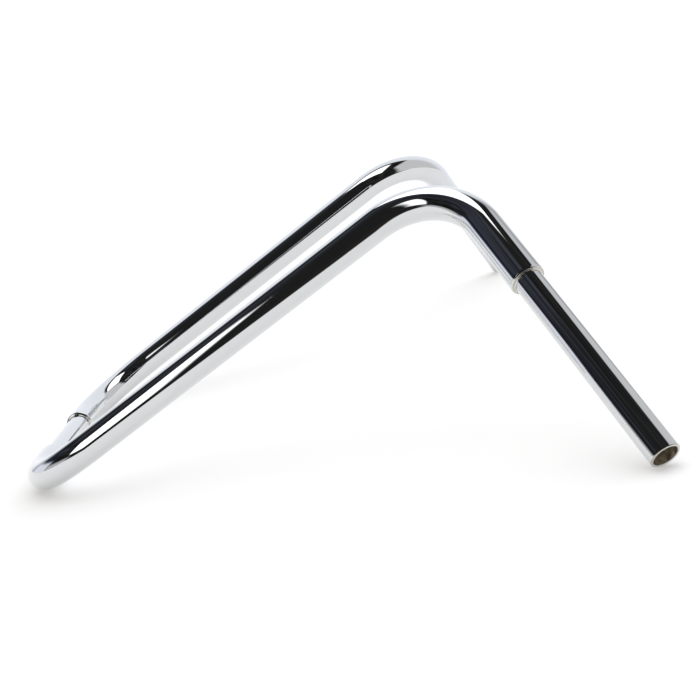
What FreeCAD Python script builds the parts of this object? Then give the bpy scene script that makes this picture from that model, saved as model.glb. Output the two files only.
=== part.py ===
import FreeCAD, Part
import math
import os
from FreeCAD import Vector

# Tall bent-tube handlebar for a motorcycle, in millimetres.
# It stands on a flat surface like a tent: on its two lower bends and on the two open grip ends.
# Origin: middle of the clamp section, on its axis.  +X towards the left grip, +Z up from the
# surface, +Y from the clamp section towards the grips.  The bar is symmetric about X = 0.

# ---- tube stock --------------------------------------------------------------------------
BEND_R = 31.75 / 2          # 1-1/4 in tube
BEND_WALL = 3.4             # 0.134 in wall
THIN_R = 25.4 / 2           # 1 in tube: clamp section and grips
THIN_WALL = 2.5             # about 0.1 in wall
SEAT_CUT = 0.3              # the hidden ends of the 1 in tubes are turned down by this much

# ---- shape of one half, measured between the corners of the centreline ----------------------
CORNER_X = 184.0            # middle of the bar to the lower corner
RISER_LEN = 520.0           # lower corner to upper corner
RISER_FLARE = 3.0           # degrees, outwards
RISER_SLOPE = 24.0          # degrees above the surface
GRIP_OUT = 48.0             # degrees, outwards from the YZ plane
GRIP_DROP = 66.5            # degrees below the horizontal, seen from the side
LOWER_BEND_R = 90.0         # centreline radii of the two bends
UPPER_BEND_R = 82.0

# ---- where the tube changes from 1-1/4 in to 1 in -----------------------------------------
CLAMP_HALF = 63.5           # half of the 5 in clamp section
GRIP_LEN = 200.0            # bare 1 in tube outside the step
CLAMP_INSERT = 30.0         # 1 in tube hidden inside the bent tube, at the clamp section
GRIP_INSERT = 36.0          # and at the grip

# ---- edges and welds ------------------------------------------------------------------------
STEP_ROUND = 2.0            # rounded outer edge of the bent tube at each step
MOUTH_ROUND = 1.1           # rounded outer edge of the grip's open end
MOUTH_BEVEL = 0.4           # bevel inside the grip's open end
MOUTH_REAM = 0.3            # the inside of the open end is reamed this much wider
MOUTH_DEPTH = 50.0          # and this far in, to take a bar-end plug
WELD_LEG = 1.1              # fillet weld in the corner of each step

NEAR = 1e-3                 # distance under which two points are the same


def direction(out_deg, along_y, along_z):
    """Unit vector turned out_deg from the YZ plane towards +X."""
    out = math.radians(out_deg)
    return Vector(math.sin(out), math.cos(out) * along_y, math.cos(out) * along_z)


def bend(corner, before, after, radius):
    """Start, end and middle point of the arc that rounds a corner of the centreline."""
    turn = before.getAngle(after)
    trim = radius * math.tan(turn / 2)
    start = corner - before * trim
    end = corner + after * trim
    inward = (after - before).normalize()
    centre = corner + inward * (radius / math.cos(turn / 2))
    middle = centre - inward * radius
    return start, end, middle


def route(lower, upper):
    """Centreline wire: straight, lower bend, riser, upper bend, straight."""
    first, last = step_points()
    edges = [
        Part.makeLine(first, lower[0]),
        Part.Arc(lower[0], lower[2], lower[1]).toShape(),
        Part.makeLine(lower[1], upper[0]),
        Part.Arc(upper[0], upper[2], upper[1]).toShape(),
        Part.makeLine(upper[1], last),
    ]
    return Part.Wire(edges)


def step_points():
    """Centreline points of the clamp step and the grip step."""
    return Vector(CLAMP_HALF, 0, 0), GRIP_END - GRIP_DIR * GRIP_LEN


def rod(path, radius):
    """Solid round bar along a centreline."""
    start = path.Edges[0].Vertexes[0].Point
    profile = Part.Wire(Part.makeCircle(radius, start, Vector(1, 0, 0)))
    return path.makePipeShell([profile], True, False)


def circles(shape, radius, centre):
    """Round edges of one radius about one centre."""
    found = []
    for edge in shape.Edges:
        if not isinstance(edge.Curve, Part.Circle):
            continue
        same_radius = abs(edge.Curve.Radius - radius) < NEAR
        if same_radius and edge.Curve.Center.distanceToPoint(centre) < NEAR:
            found.append(edge)
    return found


def bent_tube():
    """1-1/4 in tube from the clamp step to the grip step, with rounded shoulders."""
    lower = bend(LOWER_CORNER, Vector(1, 0, 0), RISER_DIR, LOWER_BEND_R)
    upper = bend(UPPER_CORNER, RISER_DIR, GRIP_DIR, UPPER_BEND_R)
    path = route(lower, upper)
    tube = rod(path, BEND_R).cut(rod(path, BEND_R - BEND_WALL))
    edges = []
    for centre in step_points():
        edges += circles(tube, BEND_R, centre)
    return tube.makeFillet(STEP_ROUND, edges)


def turned_seat(tube, end, inwards, insert):
    """Turn down the hidden end of a 1 in tube, as far as the toe of its weld."""
    length = insert + WELD_LEG
    ring = Part.makeCylinder(THIN_R + 1, length, end, inwards)
    return tube.cut(ring.cut(Part.makeCylinder(THIN_R - SEAT_CUT, length, end, inwards)))


def straight_tube(start, way, length):
    """Straight 1 in tube."""
    outer = Part.makeCylinder(THIN_R, length, start, way)
    return outer.cut(Part.makeCylinder(THIN_R - THIN_WALL, length, start, way))


def clamp_tube():
    """1 in tube across the middle, its ends hidden inside the two bent tubes."""
    half = CLAMP_HALF + CLAMP_INSERT
    ahead = Vector(1, 0, 0)
    tube = straight_tube(ahead * -half, ahead, 2 * half)
    tube = turned_seat(tube, ahead * -half, ahead, CLAMP_INSERT)
    return turned_seat(tube, ahead * half, -ahead, CLAMP_INSERT)


def grip_tube():
    """1 in tube at the grip, open at its end."""
    length = GRIP_LEN + GRIP_INSERT
    start = GRIP_END - GRIP_DIR * length
    tube = turned_seat(straight_tube(start, GRIP_DIR, length), start, GRIP_DIR, GRIP_INSERT)
    mouth_r = THIN_R - THIN_WALL + MOUTH_REAM
    tube = tube.cut(Part.makeCylinder(mouth_r, MOUTH_DEPTH, GRIP_END, -GRIP_DIR))
    tube = tube.makeFillet(MOUTH_ROUND, circles(tube, THIN_R, GRIP_END))
    return tube.makeChamfer(MOUTH_BEVEL, circles(tube, mouth_r, GRIP_END))


def weld(corner, away):
    """Ring of weld in the corner of a step, pointing away from the bent tube."""
    across = away.cross(Vector(0, 0, 1)).normalize()
    seat = corner + across * (THIN_R - SEAT_CUT)
    shoulder = corner + across * (THIN_R + WELD_LEG)
    toe = corner + across * THIN_R + away * WELD_LEG
    outline = [seat, shoulder, toe, seat + away * WELD_LEG, seat]
    face = Part.Face(Part.makePolygon(outline))
    return face.revolve(corner, away, 360)


def save(name, shape):
    """Write one sub-part, after checking that it is one valid solid."""
    solid = shape.Solids[0]
    if len(shape.Solids) != 1 or not solid.isValid():
        raise ValueError(name + " is not one valid solid")
    solid.exportStep(os.path.join("parts", name + ".step"))


def save_pair(name, shape):
    """Write a sub-part of the left half and its mirror image."""
    save("left_" + name, shape)
    save("right_" + name, shape.mirror(Vector(0, 0, 0), Vector(1, 0, 0)))


# ---- corners of the centreline ---------------------------------------------------------------
SLOPE = math.radians(RISER_SLOPE)
DROP = math.radians(GRIP_DROP)
RISER_DIR = direction(RISER_FLARE, math.cos(SLOPE), math.sin(SLOPE))
GRIP_DIR = direction(GRIP_OUT, math.cos(DROP), -math.sin(DROP))
LOWER_CORNER = Vector(CORNER_X, 0, 0)
UPPER_CORNER = LOWER_CORNER + RISER_DIR * RISER_LEN

# The grip is as long as it takes for its rounded rim to touch the surface under the lower bends.
RIM_REACH = (THIN_R - MOUTH_ROUND) * math.sqrt(1 - GRIP_DIR.z ** 2) + MOUTH_ROUND
END_Z = -BEND_R + RIM_REACH + GRIP_DIR.z * MOUTH_ROUND
GRIP_LEG = (END_Z - UPPER_CORNER.z) / GRIP_DIR.z
GRIP_END = UPPER_CORNER + GRIP_DIR * GRIP_LEG

os.makedirs("parts", exist_ok=True)
save("clamp_tube", clamp_tube())
save_pair("bent_tube", bent_tube())
save_pair("grip_tube", grip_tube())
clamp_step, grip_step = step_points()
save_pair("clamp_weld", weld(clamp_step, Vector(-1, 0, 0)))
save_pair("grip_weld", weld(grip_step, GRIP_DIR))
print("grip end", GRIP_END, "grip leg", round(GRIP_LEG, 2))
print("grip direction", GRIP_DIR, "riser direction", RISER_DIR)
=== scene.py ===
import math
import bpy
from mathutils import Matrix, Vector


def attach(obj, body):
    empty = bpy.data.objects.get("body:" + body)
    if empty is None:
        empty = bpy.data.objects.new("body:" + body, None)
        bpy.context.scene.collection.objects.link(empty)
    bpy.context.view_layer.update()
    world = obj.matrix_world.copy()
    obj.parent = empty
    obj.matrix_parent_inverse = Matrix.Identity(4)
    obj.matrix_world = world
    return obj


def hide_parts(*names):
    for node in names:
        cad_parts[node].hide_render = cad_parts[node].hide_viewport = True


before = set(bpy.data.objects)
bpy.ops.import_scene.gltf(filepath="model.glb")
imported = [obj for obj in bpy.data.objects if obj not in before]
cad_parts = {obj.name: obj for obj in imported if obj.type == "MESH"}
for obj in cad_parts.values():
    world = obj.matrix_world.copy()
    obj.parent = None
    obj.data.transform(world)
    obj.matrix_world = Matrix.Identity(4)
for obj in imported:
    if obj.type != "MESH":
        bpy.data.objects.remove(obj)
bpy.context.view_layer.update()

# ---- sizes of the bar, in metres (the same as in the CAD source) -------------------------------
BEND_R = 0.015875           # 1-1/4 in tube
BEND_WALL = 0.0034
THIN_R = 0.0127             # 1 in tube: clamp section and grips
THIN_WALL = 0.0025
SEAT_CUT = 0.0003
CORNER_X = 0.184
RISER_LEN = 0.520
RISER_FLARE, RISER_SLOPE = 3.0, 24.0
GRIP_OUT, GRIP_DROP = 48.0, 66.5
LOWER_BEND_R, UPPER_BEND_R = 0.090, 0.082
CLAMP_HALF = 0.0635
GRIP_LEN = 0.200
CLAMP_INSERT, GRIP_INSERT = 0.030, 0.036
STEP_ROUND = 0.0020
MOUTH_ROUND = 0.0011
MOUTH_BEVEL = 0.0004
MOUTH_REAM = 0.0003
MOUTH_DEPTH = 0.050
WELD_LEG = 0.0011
WELD_UNEVEN = 0.00008       # how far the face of a weld strays from round
FLOOR_Z = -BEND_R

RING_SIDES = 128            # corners of every ring
RING_GAP = 0.004            # between the rings of a straight run
INSIDE_EVERY = 3            # the inside of a bent tube takes every third ring
ROUND_STEPS = 9             # steps round a rounded edge
SHARP_ANGLE = math.radians(35)
STEP_CLEAR = 0.0008         # from the rounded edge of a step to the next ring of its run
RIM_CLEAR = 0.001           # the same at the mouth's rim, and inside it
BEVEL_CLEAR = 0.002
CLAMP_RIM_RUB_AND_REFLECTION, GRIP_RIM_RUB_AND_REFLECTION = 0.3, 1.0    # how far the plating is rubbed at the rim of a step; the same amount paints a reflection, a darker olive tint, into the colour there
WELD_LUMPS = ((5, 1, 1.0), (13, 2, 0.7), (29, 0, 0.5))  # count round the weld, turn, height


def direction(out_deg, drop_deg):
    """Unit vector turned out_deg from the YZ plane and drop_deg below the horizontal."""
    out, drop = math.radians(out_deg), math.radians(drop_deg)
    return Vector((math.sin(out), math.cos(out) * math.cos(drop), -math.cos(out) * math.sin(drop)))


ACROSS = Vector((1, 0, 0))
RISER_DIR = direction(RISER_FLARE, -RISER_SLOPE)
GRIP_DIR = direction(GRIP_OUT, GRIP_DROP)
CLAMP_STEP = Vector((CLAMP_HALF, 0, 0))
LOWER_CORNER = Vector((CORNER_X, 0, 0))
UPPER_CORNER = LOWER_CORNER + RISER_DIR * RISER_LEN
RIM_REACH = (THIN_R - MOUTH_ROUND) * math.sqrt(1 - GRIP_DIR.z ** 2) + MOUTH_ROUND
END_Z = -BEND_R + RIM_REACH + GRIP_DIR.z * MOUTH_ROUND
GRIP_END = UPPER_CORNER + GRIP_DIR * ((END_Z - UPPER_CORNER.z) / GRIP_DIR.z)
GRIP_STEP = GRIP_END - GRIP_DIR * GRIP_LEN


# ---- centreline ---------------------------------------------------------------------------------
def arc_points(corner, before, after, radius):
    """Points of the tangent arc that rounds a corner, with the directions there, 1 degree apart."""
    turn = before.angle(after)
    start = corner - before * (radius * math.tan(turn / 2))
    centre = corner + (after - before).normalized() * (radius / math.cos(turn / 2))
    spoke = (start - centre) / radius
    count = round(math.degrees(turn))
    found = []
    for i in range(count + 1):
        a = turn * i / count
        point = centre + (spoke * math.cos(a) + before * math.sin(a)) * radius
        found.append((point, (before * math.cos(a) - spoke * math.sin(a)).normalized()))
    return found


def straight_points(a, b):
    """Points between a and b, both left out, with the direction from a to b."""
    count = max(1, round((b - a).length / RING_GAP))
    way = (b - a).normalized()
    return [(a.lerp(b, i / count), way) for i in range(1, count)]


def bend_route():
    """Centreline of the left bent tube, from the clamp step to the grip step."""
    low = arc_points(LOWER_CORNER, ACROSS, RISER_DIR, LOWER_BEND_R)
    high = arc_points(UPPER_CORNER, RISER_DIR, GRIP_DIR, UPPER_BEND_R)
    route = [(CLAMP_STEP, ACROSS)] + straight_points(CLAMP_STEP, low[0][0]) + low
    route += straight_points(low[-1][0], high[0][0]) + high
    return route + straight_points(high[-1][0], GRIP_STEP) + [(GRIP_STEP, GRIP_DIR)]


def square_to(way):
    """Two directions square to a way and to each other, the first as near to upright as it can be."""
    first = (Vector((0, 0, 1)) - way * way.z).normalized()
    return first, way.cross(first)


def carried_frames(route):
    """Frames (point, way, cross, other cross, length so far) that turn about the route as little as
    possible."""
    last, way = route[0]
    across = square_to(way)[0]
    length, found = 0.0, []
    for point, ahead in route:
        across = way.rotation_difference(ahead) @ across
        across = (across - ahead * across.dot(ahead)).normalized()
        length += (point - last).length
        last, way = point, ahead
        found.append((point, ahead, across, ahead.cross(across), length))
    return found


def spaced(a, b):
    """Even steps from a to b, both kept."""
    count = max(1, round(abs(b - a) / RING_GAP))
    return [a + (b - a) * i / count for i in range(count + 1)]


def quarter():
    """Sine and cosine at even steps from 0 to 90 degrees."""
    turns = [math.pi / 2 * i / ROUND_STEPS for i in range(ROUND_STEPS + 1)]
    return [(math.sin(turn), math.cos(turn)) for turn in turns]


# ---- tubes --------------------------------------------------------------------------------------
def ring_shell(name, rings, inside_from, mirror):
    """Closed shell from rings (frame, radius or a function of the angle, rim mark).  Each ring is
    joined to the next and the last to the first; from ring inside_from on the metal is the bare
    inside.  The mesh carries "tube", each corner's place on the same tube laid out straight, and
    the rim mark, from 0 on a run to 1 where an edge has had the most rubbing; it makes the plate
    rougher and paints a reflection, a darker olive tint, into its colour."""
    verts, laid, ring_rubs_and_reflections, faces, inner = [], [], [], [], []
    flip = -1 if mirror else 1
    for (point, way, a, b, length), radius, rub_and_painted_reflection in rings:
        for i in range(RING_SIDES):
            t = 2 * math.pi * i / RING_SIDES
            r = radius(t) if callable(radius) else radius
            p = point + (a * math.cos(t) + b * math.sin(t)) * r
            verts.append((p.x * flip, p.y, p.z))
            laid += (r * math.cos(t) * flip, r * math.sin(t), length)
            ring_rubs_and_reflections.append(rub_and_painted_reflection)
    for k in range(len(rings)):
        n = (k + 1) % len(rings)
        for i in range(RING_SIDES):
            j = (i + 1) % RING_SIDES
            quad = [x * RING_SIDES + y for x, y in ((k, i), (k, j), (n, j), (n, i))]
            faces.append(quad if mirror else quad[::-1])
            inner.append(1 if k >= inside_from else 0)
    mesh = bpy.data.meshes.new(name)
    mesh.from_pydata(verts, [], faces)
    mesh.polygons.foreach_set("use_smooth", [True] * len(faces))
    mesh.polygons.foreach_set("material_index", inner)
    mesh.attributes.new("tube", "FLOAT_VECTOR", "POINT").data.foreach_set("vector", laid)
    mesh.attributes.new("rub_and_painted_reflection", "FLOAT", "POINT").data.foreach_set("value", ring_rubs_and_reflections)
    mesh.update()
    mesh.set_sharp_from_angle(angle=SHARP_ANGLE)
    piece = bpy.data.objects.new(name, mesh)
    bpy.context.scene.collection.objects.link(piece)
    return piece


def shifted(at, distance):
    """The frame at, moved along its own way."""
    point, way, a, b, length = at
    return point + way * distance, way, a, b, length + distance


def step_edge(at, inward, face_rub_and_reflection):
    """Rings from the flat end face of a bent tube round its rounded edge; inward is 1 or -1 and
    the last argument is the rim mark at the face: rougher plate, and a painted reflection in its
    colour."""
    inner = BEND_R - STEP_ROUND
    return [(shifted(at, inward * STEP_ROUND * (1 - c)), inner + STEP_ROUND * s, face_rub_and_reflection * c ** 3)
            for s, c in quarter()]


def bent_tube(side, mirror):
    """Clamp step, lower bend, riser, upper bend and grip step in one piece."""
    frames = carried_frames(bend_route())
    first, last = frames[0], frames[-1]
    clear = STEP_ROUND + STEP_CLEAR
    body = [f for f in frames if clear < f[4] < last[4] - clear]
    rings = step_edge(first, 1, CLAMP_RIM_RUB_AND_REFLECTION)
    rings += [(f, BEND_R, 0) for f in body]
    rings += step_edge(last, -1, GRIP_RIM_RUB_AND_REFLECTION)[::-1]
    inside_from = len(rings)
    rings += [(f, BEND_R - BEND_WALL, 0) for f in [last] + body[::-INSIDE_EVERY] + [first]]
    return ring_shell(side + "_bent_tube_skin", rings, inside_from, mirror)


def straight_tube(name, end, way, profile, inside_from, mirror):
    """Tube from a profile of (distance past the end, radius), with the rim mark where there is
    any: rougher plate, and a painted reflection in its colour.
    """
    a, b = square_to(way)

    def ring(d, radius, rub_and_painted_reflection=0):
        return (end + way * d, way, a, b, d), radius, rub_and_painted_reflection

    return ring_shell(name, [ring(*step) for step in profile], inside_from, mirror)


def clamp_tube():
    """Straight middle of the bar; its turned down ends sit inside the bent tubes."""
    half = CLAMP_HALF + CLAMP_INSERT
    shoulder = half - CLAMP_INSERT - WELD_LEG
    bore, seat = THIN_R - THIN_WALL, THIN_R - SEAT_CUT
    profile = [(-half, bore), (-half, seat), (-shoulder, seat)]
    profile += [(x, THIN_R) for x in spaced(-shoulder, shoulder)]
    profile += [(shoulder, seat), (half, seat), (half, bore)]
    return straight_tube("clamp_tube_skin", Vector(), ACROSS, profile, len(profile) - 1, False)


def grip_tube(side, mirror):
    """Open bar end: rounded rim, small bevel and reamed mouth; the other end sits in the bent tube."""
    length = GRIP_LEN + GRIP_INSERT
    shoulder = GRIP_LEN - WELD_LEG
    bore, seat = THIN_R - THIN_WALL, THIN_R - SEAT_CUT
    mouth = bore + MOUTH_REAM
    profile = [(-length, bore), (-length, seat), (-shoulder, seat)]
    profile += [(d, THIN_R) for d in spaced(-shoulder, -MOUTH_ROUND - RIM_CLEAR)]
    for s, c in quarter():
        # mouth rim marked most halfway round: rougher plate, and a painted reflection, a darker olive
        # band, in its colour
        profile.append((-MOUTH_ROUND * (1 - s), THIN_R - MOUTH_ROUND * (1 - c), 2 * s * c))
    profile += [(0.0, mouth + MOUTH_BEVEL), (-MOUTH_BEVEL, mouth)]
    inside_from = len(profile) - 1
    profile += [(d, mouth) for d in spaced(-MOUTH_BEVEL - BEVEL_CLEAR, -MOUTH_DEPTH)]
    profile += [(-MOUTH_DEPTH, bore)]
    return straight_tube(side + "_grip_tube_skin", GRIP_END, GRIP_DIR, profile, inside_from, mirror)


def uneven(radius, size):
    """Radius of a dressed weld at an angle: never quite round."""
    return lambda t: radius + size * sum(part * math.sin(n * t + turn) for n, turn, part in WELD_LUMPS)


def weld_bead(name, corner, away, mirror):
    """Dressed fillet weld: a hollow-faced ring in the corner of a step."""
    seat = THIN_R - SEAT_CUT
    profile = [(WELD_LEG, seat)]
    for s, c in quarter()[::-1]:
        profile.append((WELD_LEG * (1 - c), uneven(THIN_R + WELD_LEG * (1 - s), WELD_UNEVEN * s * c)))
    profile.append((0.0, seat))
    return straight_tube(name, corner, away, profile, len(profile), mirror)


# ---- materials ----------------------------------------------------------------------------------
def node(tree, kind, inputs=(), **settings):
    """New shader node.  An input is given a plain value or the socket that feeds it."""
    made = tree.nodes.new("ShaderNode" + kind)
    for key, value in settings.items():
        setattr(made, key, value)
    for key, value in dict(inputs).items():
        if isinstance(value, bpy.types.NodeSocket):
            tree.links.new(value, made.inputs[key])
        else:
            made.inputs[key].default_value = value
    return made


def span(tree, value, low, high, to_low=0.0, to_high=1.0, kind="LINEAR"):
    """value from low..high to to_low..to_high, held at both ends."""
    inputs = {"Value": value, "From Min": low, "From Max": high, "To Min": to_low, "To Max": to_high}
    return node(tree, "MapRange", inputs, interpolation_type=kind).outputs["Result"]


def calc(tree, operation, *values):
    """The values joined by one operation, from the first on."""
    total = values[0]
    for value in values[1:]:
        total = node(tree, "Math", {0: total, 1: value}, operation=operation).outputs[0]
    return total


def noise(tree, place, scale, detail, stretch=(1, 1, 1), distortion=0.0):
    place = node(tree, "Mapping", {"Vector": place, "Scale": stretch}).outputs[0]
    inputs = {"Vector": place, "Scale": scale, "Detail": detail, "Distortion": distortion}
    return node(tree, "TexNoise", inputs).outputs["Fac"]


def bump(tree, height, distance, under=None):
    """Normal from a height, on top of another bump where one is given."""
    inputs = {"Height": height, "Distance": distance, "Strength": 1.0}
    if under is not None:
        inputs["Normal"] = under
    return node(tree, "Bump", inputs).outputs["Normal"]


def tint(tree, value, dark, light):
    """Colour between dark and light for a value from 0 to 1."""
    ramp = node(tree, "ValToRGB", {"Fac": value})
    ramp.color_ramp.elements[0].color = (*dark, 1)
    ramp.color_ramp.elements[1].color = (*light, 1)
    return ramp.outputs["Color"]


def metal(name, plating=1.0):
    """Material with its metal shader, node tree and the tube's laid-out place."""
    mat = bpy.data.materials.new(name)
    mat.use_nodes = True
    tree = mat.node_tree
    shader = tree.nodes["Principled BSDF"]
    shader.inputs["Metallic"].default_value = plating
    place = node(tree, "Attribute", attribute_name="tube", attribute_type="GEOMETRY").outputs["Vector"]
    return mat, tree, shader, place


def finish_metal(tree, shader, colour, rough, normal):
    tree.links.new(colour, shader.inputs["Base Color"])
    tree.links.new(rough, shader.inputs["Roughness"])
    tree.links.new(normal, shader.inputs["Normal"])


# marks on the metal: how many to the metre, across and along the tube where it matters
HAZE, SMUDGE, RUBBED, BENDING, POLISHING = 60, 17, 34, 26, 40
SMUDGE_SHAPE, POLISH_SHAPE = (1, 1, 0.5), (0.35, 0.35, 9)
SCRATCHES, PITS = (150, 150, 11), 120
MOTTLE, DRAWN, DRAWN_SHAPE = 210, 420, (1, 1, 0.05)
# how rough they make it, and how deep they are in metres
SMUDGE_ROUGH, SCRATCH_ROUGH, WORN_ROUGH = 0.018, 0.10, 0.12
BEND_WAVE, PIT_DEPTH, MOTTLE_DEPTH, DRAWN_DEPTH = 0.00010, 0.00006, 0.00020, 0.00012
PITTED_SHARE = 0.20         # of the cells, the ones that have a pit
STEEL_METALLIC = 0.55       # rust and dirt take up the rest
RIM_REFLECTION_TINT = (0.47, 0.445, 0.37)     # painted reflection: darker olive colour for rounded rims, standing in for the surroundings they mirror


def scratches(tree, place):
    """1 on hairlines along the tube, in patches where it has been rubbed."""
    cells = node(tree, "Mapping", {"Vector": place, "Scale": SCRATCHES}).outputs[0]
    cells = node(tree, "TexVoronoi", {"Vector": cells, "Scale": 1.0}, feature="DISTANCE_TO_EDGE")
    patches = span(tree, noise(tree, place, RUBBED, 2), 0.56, 0.66)
    return calc(tree, "MULTIPLY", span(tree, cells.outputs[0], 0.0, 0.02, 1.0, 0.0), patches)


def pits(tree, place):
    """1 in a few small round spots."""
    cell = node(tree, "TexVoronoi", {"Vector": place, "Scale": float(PITS)})
    chosen = calc(tree, "GREATER_THAN", cell.outputs["Color"], 1 - PITTED_SHARE)
    return calc(tree, "MULTIPLY", span(tree, cell.outputs["Distance"], 0.02, 0.045, 1.0, 0.0), chosen)


def chrome(name, dark, light, rough_low, rough_high, ripple):
    """Chrome plate: faint haze and wiped smudges, slow waves from bending and polishing, hairline
    scratches along the tube, a few pits, and rougher plate on rounded rims, whose colour there is a
    painted reflection: a darker olive tint standing in for the surroundings those rims mirror."""
    mat, tree, shader, place = metal(name)
    rub_and_painted_reflection = node(tree, "Attribute", attribute_name="rub_and_painted_reflection", attribute_type="GEOMETRY").outputs["Fac"]
    haze = noise(tree, place, HAZE, 5)
    smudge = noise(tree, place, SMUDGE, 4, SMUDGE_SHAPE, 0.8)
    rough = calc(tree, "ADD", span(tree, haze, 0.3, 0.75, rough_low, rough_high),
                 span(tree, smudge, 0.56, 0.72, 0.0, SMUDGE_ROUGH),
                 calc(tree, "MULTIPLY", scratches(tree, place), SCRATCH_ROUGH),
                 span(tree, rub_and_painted_reflection, 0.2, 1.0, 0.0, WORN_ROUGH))
    normal = bump(tree, noise(tree, place, BENDING, 0.5), BEND_WAVE)
    normal = bump(tree, noise(tree, place, POLISHING, 1, POLISH_SHAPE), ripple, normal)
    normal = bump(tree, pits(tree, place), -PIT_DEPTH, normal)
    # painted reflection: where the rim mark is high the colour turns to a darker olive tint, standing
    # in for the surroundings the rounded rims mirror
    colours = {0: span(tree, rub_and_painted_reflection, 0.25, 0.85), 6: tint(tree, haze, dark, light), 7: (*RIM_REFLECTION_TINT, 1)}
    colour = node(tree, "Mix", colours, data_type="RGBA").outputs[2]
    finish_metal(tree, shader, colour, rough, normal)
    return mat


def bare_steel():
    """Inside of a tube: drawn steel, unplated, gone brown in patches."""
    mat, tree, shader, place = metal("bare_steel", STEEL_METALLIC)
    mottle = noise(tree, place, MOTTLE, 6)
    drawn = noise(tree, place, DRAWN, 3, DRAWN_SHAPE)
    patches = span(tree, mottle, 0.32, 0.68)
    colour = tint(tree, patches, (0.17, 0.136, 0.088), (0.60, 0.52, 0.38))
    normal = bump(tree, drawn, DRAWN_DEPTH, bump(tree, mottle, MOTTLE_DEPTH))
    finish_metal(tree, shader, colour, span(tree, mottle, 0.3, 0.7, 0.28, 0.55), normal)
    return mat


CHROME = chrome("chrome", (0.655, 0.672, 0.682), (0.690, 0.700, 0.705), 0.004, 0.016, 0.000004)
WELD = chrome("weld", (0.570, 0.555, 0.505), (0.680, 0.665, 0.620), 0.07, 0.15, 0.00002)
STEEL = bare_steel()


def adopt(piece, node_name, plate):
    """Plate a piece and hand it to the frame in place of its CAD node."""
    for mat in (plate, STEEL):
        piece.data.materials.append(mat)
    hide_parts(node_name)
    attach(piece, "root")


adopt(clamp_tube(), "clamp_tube", CHROME)
for side, mirror in (("left", False), ("right", True)):
    adopt(bent_tube(side, mirror), side + "_bent_tube", CHROME)
    adopt(grip_tube(side, mirror), side + "_grip_tube", CHROME)
    bead = weld_bead(side + "_clamp_weld_bead", CLAMP_STEP, -ACROSS, mirror)
    adopt(bead, side + "_clamp_weld", WELD)
    bead = weld_bead(side + "_grip_weld_bead", GRIP_STEP, GRIP_DIR, mirror)
    adopt(bead, side + "_grip_weld", WELD)

# ---- camera -------------------------------------------------------------------------------------
CAM_PLACE = Vector((1.30310, 0.40304, 0.309895))
CAM_YAW, CAM_PITCH, CAM_ROLL = -0.047991, 0.215626, -0.251780   # radians
CAM_SENSOR, CAM_LENS = 36, 60.744   # mm
look = Vector((-math.cos(CAM_PITCH) * math.cos(CAM_YAW), math.cos(CAM_PITCH) * math.sin(CAM_YAW),
               -math.sin(CAM_PITCH)))
level = look.cross(Vector((0, 0, 1))).normalized()
upward = level.cross(look)
right = level * math.cos(CAM_ROLL) + upward * math.sin(CAM_ROLL)
top = upward * math.cos(CAM_ROLL) - level * math.sin(CAM_ROLL)
cam = bpy.data.objects.new("camera", bpy.data.cameras.new("camera"))
bpy.context.scene.collection.objects.link(cam)
cam.data.sensor_width = CAM_SENSOR
cam.data.lens = CAM_LENS
cam.matrix_world = Matrix((right, top, -look)).transposed().to_4x4()
cam.matrix_world.translation = CAM_PLACE
cam.data.clip_start, cam.data.clip_end = 0.02, 200
bpy.context.scene.camera = cam


# ---- stage --------------------------------------------------------------------------------------
def stage_sheet(name, corner, along, up, material):
    """Flat rectangle from a corner and its two edges."""
    corners = [corner, corner + along, corner + along + up, corner + up]
    mesh = bpy.data.meshes.new(name)
    mesh.from_pydata([tuple(c) for c in corners], [], [(0, 1, 2, 3)])
    mesh.uv_layers.new(name="sheet").data.foreach_set("uv", (0, 0, 1, 0, 1, 1, 0, 1))
    mesh.materials.append(material)
    sheet = bpy.data.objects.new(name, mesh)
    bpy.context.scene.collection.objects.link(sheet)
    return sheet


def empty_material(name):
    mat = bpy.data.materials.new(name)
    mat.use_nodes = True
    mat.node_tree.nodes.clear()
    return mat, mat.node_tree


def glow_material(name, colour, fades):
    """Light that fades to nothing at the edges of its sheet.  fades are the shares of the sheet
    that the fades take: at its start, end, bottom and top."""
    mat, tree = empty_material(name)
    spot = node(tree, "SeparateXYZ", {0: node(tree, "UVMap", uv_map="sheet").outputs[0]})
    sides = ((spot.outputs["X"], 0.0, 1), (spot.outputs["X"], 1.0, -1),
             (spot.outputs["Y"], 0.0, 1), (spot.outputs["Y"], 1.0, -1))
    amount = 1.0
    for (value, edge, inward), share in zip(sides, fades):
        fade = span(tree, value, edge, edge + inward * share, kind="SMOOTHSTEP")
        amount = calc(tree, "MULTIPLY", amount, fade)
    glow = node(tree, "Emission", {"Color": (*colour, 1), "Strength": 1.0})
    clear = node(tree, "BsdfTransparent")
    mix = node(tree, "MixShader", {0: amount, 1: clear.outputs[0], 2: glow.outputs[0]})
    node(tree, "OutputMaterial", {"Surface": mix.outputs[0]})
    return mat


def mirrored_sheet(name, corner, along, up, colour, soft):
    """Sheet that only the chrome mirrors.  Its edges fade over soft metres either side of the
    rectangle given: at its start, end, bottom and top."""
    a, b = along.normalized(), up.normalized()
    wide = along.length + soft[0] + soft[1]
    high = up.length + soft[2] + soft[3]
    fades = (2 * soft[0] / wide, 2 * soft[1] / wide, 2 * soft[2] / high, 2 * soft[3] / high)
    sheet = stage_sheet(name, corner - a * soft[0] - b * soft[2], a * wide, b * high,
                        glow_material(name, colour, fades))
    sheet.visible_camera = sheet.visible_diffuse = sheet.visible_shadow = False
    sheet.visible_transmission = sheet.visible_volume_scatter = False


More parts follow.
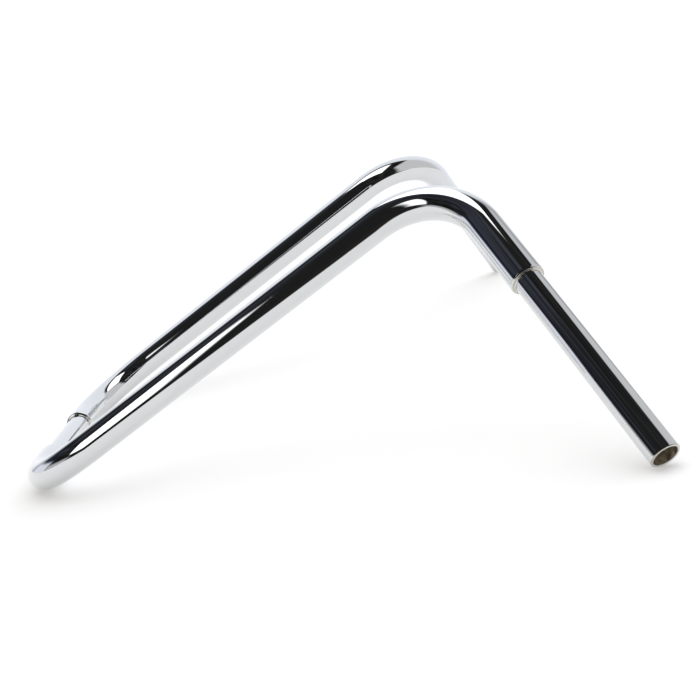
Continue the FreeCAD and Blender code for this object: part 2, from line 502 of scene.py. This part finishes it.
PAPER_END, PAPER_SLANT, PAPER_FADE = 0.676, 0.399, 0.050
SLANT_UNTIL = 0.35          # beyond this Y the paper's end runs straight
PAPER_TINTS = (0.600, 0.600, 0.603), (0.608, 0.607, 0.606)
PAPER_GLOW, GLOW_COLOUR = 0.31, (1.0, 0.985, 0.965, 1)
TABLE_COLOUR = (0.024, 0.021, 0.018, 1)
FLOOR_HALF, FLOOR_GAP = 30, 0.0002


def floor_material():
    """White paper.  In the chrome it ends in front of the grips, where a darker table follows."""
    mat, tree = empty_material("paper")
    place = node(tree, "NewGeometry").outputs["Position"]
    parts = node(tree, "SeparateXYZ", {0: place}).outputs
    slant = calc(tree, "MULTIPLY", calc(tree, "MINIMUM", parts["Y"], SLANT_UNTIL), PAPER_SLANT)
    slant = calc(tree, "ADD", parts["X"], slant)
    beyond = span(tree, slant, PAPER_END - PAPER_FADE, PAPER_END + PAPER_FADE, kind="SMOOTHSTEP")
    mirrored = node(tree, "LightPath").outputs["Is Glossy Ray"]
    grain = span(tree, noise(tree, place, 9, 4), 0.3, 0.7)
    sheet = node(tree, "BsdfDiffuse", {"Color": tint(tree, grain, *PAPER_TINTS)})
    glow = node(tree, "Emission", {"Color": GLOW_COLOUR, "Strength": PAPER_GLOW})
    paper = node(tree, "AddShader", {0: sheet.outputs[0], 1: glow.outputs[0]})
    table = node(tree, "Emission", {"Color": TABLE_COLOUR, "Strength": 1.0})
    share = calc(tree, "MULTIPLY", beyond, mirrored)
    mix = node(tree, "MixShader", {0: share, 1: paper.outputs[0], 2: table.outputs[0]})
    node(tree, "OutputMaterial", {"Surface": mix.outputs[0]})
    return mat


stage_sheet("paper_floor", Vector((-FLOOR_HALF, -FLOOR_HALF, FLOOR_Z - FLOOR_GAP)),
            Vector((2 * FLOOR_HALF, 0, 0)), Vector((0, 2 * FLOOR_HALF, 0)), floor_material())

deg = math.radians
UP = Vector((0, 0, 1))
DUSK = (0.017, 0.017, 0.017)


def turned(angle):
    """Level direction, turned from +X towards +Y."""
    return Vector((math.cos(angle), math.sin(angle), 0))


# far window behind the camera's right, partly behind a dark sheet beside the camera
mirrored_sheet("window", Vector((2.036, -3.0, 0.86)), ACROSS * 5.5, UP * 2.9, (2.0, 2.0, 2.0),
               (0.10, 0.9, 0.12, 0.30))
LEAN = Vector((0.0487, -0.1769, 1.0)).normalized()
mirrored_sheet("dark_sheet", Vector((0.7097, -0.0754, 0.0)), turned(deg(7.9)) * 3, LEAN * 4, DUSK,
               (0.08, 0.2, 0.001, 0.5))
# low lights to the right of the bar: the inner sides of the near grip and upper bend mirror them
mirrored_sheet("low_light", Vector((-2.3, -2.7, -0.1)), ACROSS * 2.1, UP * 0.95, (0.92, 0.94, 1.03),
               (0.3, 0.15, 0.05, 0.2))
mirrored_sheet("lower_light", Vector((-0.2, -2.7, -0.1)), ACROSS * 2.1, UP * 0.58, (0.60, 0.60, 0.62),
               (0.15, 0.6, 0.05, 0.2))
# softbox over the middle of the bar, placed by its middle and tipped both ways
BOX_MIDDLE = Vector((-0.012, 0.293, 0.896))
BOX_TURN, BOX_TIP_X, BOX_TIP_Y = deg(5.97), deg(-14.6), deg(39.6)
BOX_X, BOX_Y = 0.50, 0.747
box_x = turned(BOX_TURN) * math.cos(BOX_TIP_X) - UP * math.sin(BOX_TIP_X)
box_y = turned(BOX_TURN + deg(90)) * math.cos(BOX_TIP_Y) - UP * math.sin(BOX_TIP_Y)
box_y = (box_y - box_x * box_y.dot(box_x)).normalized()
mirrored_sheet("overhead", BOX_MIDDLE - box_x * BOX_X / 2 - box_y * BOX_Y / 2, box_x * BOX_X,
               box_y * BOX_Y, (2.2, 2.2, 2.2), (0.018,) * 4)
# white wall behind the bar, and a greyer one on its left whose top falls a little towards +X
mirrored_sheet("back_wall", Vector((-0.5, -0.634, -2.0)), Vector((0, 1.712, 0)), UP * 3.204,
               (1.05, 1.08, 1.14), (0.30, 0.30, 0.1, 0.30))
mirrored_sheet("side_wall", Vector((-1.32, 1.929, -1.54)), Vector((2.456, 0, -0.5)), UP * 3.89,
               (0.74, 0.74, 0.75), (0.5, 0.25, 0.1, 0.25))

# ---- world: a dark room in the chrome, soft fill on the paper, white behind everything ---------
COLD_DUSK = (0.017, 0.021, 0.034)
SHEEN_BLUE = (0.019, 0.022, 0.033)
FILL, WHITE = (0.71, 0.685, 0.64, 1), (1, 1, 1, 1)
CLUTTER, CLUTTER_LOW, CLUTTER_HIGH = 7, 0.35, 1.8
world = bpy.data.worlds.new("studio")
bpy.context.scene.world = world
world.use_nodes = True
tree = world.node_tree
tree.nodes.clear()
way = node(tree, "TexCoord").outputs["Generated"]
sky = node(tree, "SeparateXYZ", {0: way}).outputs
cold = calc(tree, "MULTIPLY", span(tree, sky["X"], 0.05, -0.2), span(tree, sky["Y"], -0.3, -0.6),
            span(tree, sky["Z"], 0.6, 0.35))
sheen = calc(tree, "MULTIPLY", span(tree, sky["X"], -0.32, -0.14), span(tree, sky["X"], 0.30, 0.12),
             span(tree, sky["Y"], -0.15, -0.30), span(tree, sky["Z"], 0.40, 0.55))
sheen = node(tree, "VectorMath", {0: SHEEN_BLUE, "Scale": sheen}, operation="SCALE").outputs[0]
clutter = span(tree, noise(tree, way, CLUTTER, 4), 0.35, 0.65, CLUTTER_LOW, CLUTTER_HIGH)
room = node(tree, "VectorMath", {0: tint(tree, cold, DUSK, COLD_DUSK), 1: sheen}, operation="ADD")
room = node(tree, "VectorMath", {0: room.outputs[0], "Scale": clutter}, operation="SCALE")
dark = node(tree, "Background", {"Color": room.outputs[0], "Strength": 1.0})
fill = node(tree, "Background", {"Color": FILL, "Strength": 1.0})
white = node(tree, "Background", {"Color": WHITE, "Strength": 1.0})
path = node(tree, "LightPath").outputs
mix = node(tree, "MixShader", {0: path["Is Diffuse Ray"], 1: dark.outputs[0], 2: fill.outputs[0]})
mix = node(tree, "MixShader", {0: path["Is Camera Ray"], 1: mix.outputs[0], 2: white.outputs[0]})
node(tree, "OutputWorld", {"Surface": mix.outputs[0]})


def soft_sun(name, towards, strength, spread, colour):
    """Even light over the whole floor, with soft shadows.  The bar doesn't mirror it."""
    data = bpy.data.lights.new(name, "SUN")
    data.energy = strength
    data.color = colour
    data.angle = deg(spread)
    lamp = bpy.data.objects.new(name, data)
    bpy.context.scene.collection.objects.link(lamp)
    lamp.rotation_mode = "QUATERNION"
    lamp.rotation_quaternion = Vector(towards).to_track_quat("-Z", "Y")
    lamp.visible_glossy = lamp.visible_camera = False


soft_sun("ceiling", (0.08, -0.40, -1), 2.1, 100, (0.86, 0.91, 1.0))
bpy.context.scene.view_settings.view_transform = "Standard"
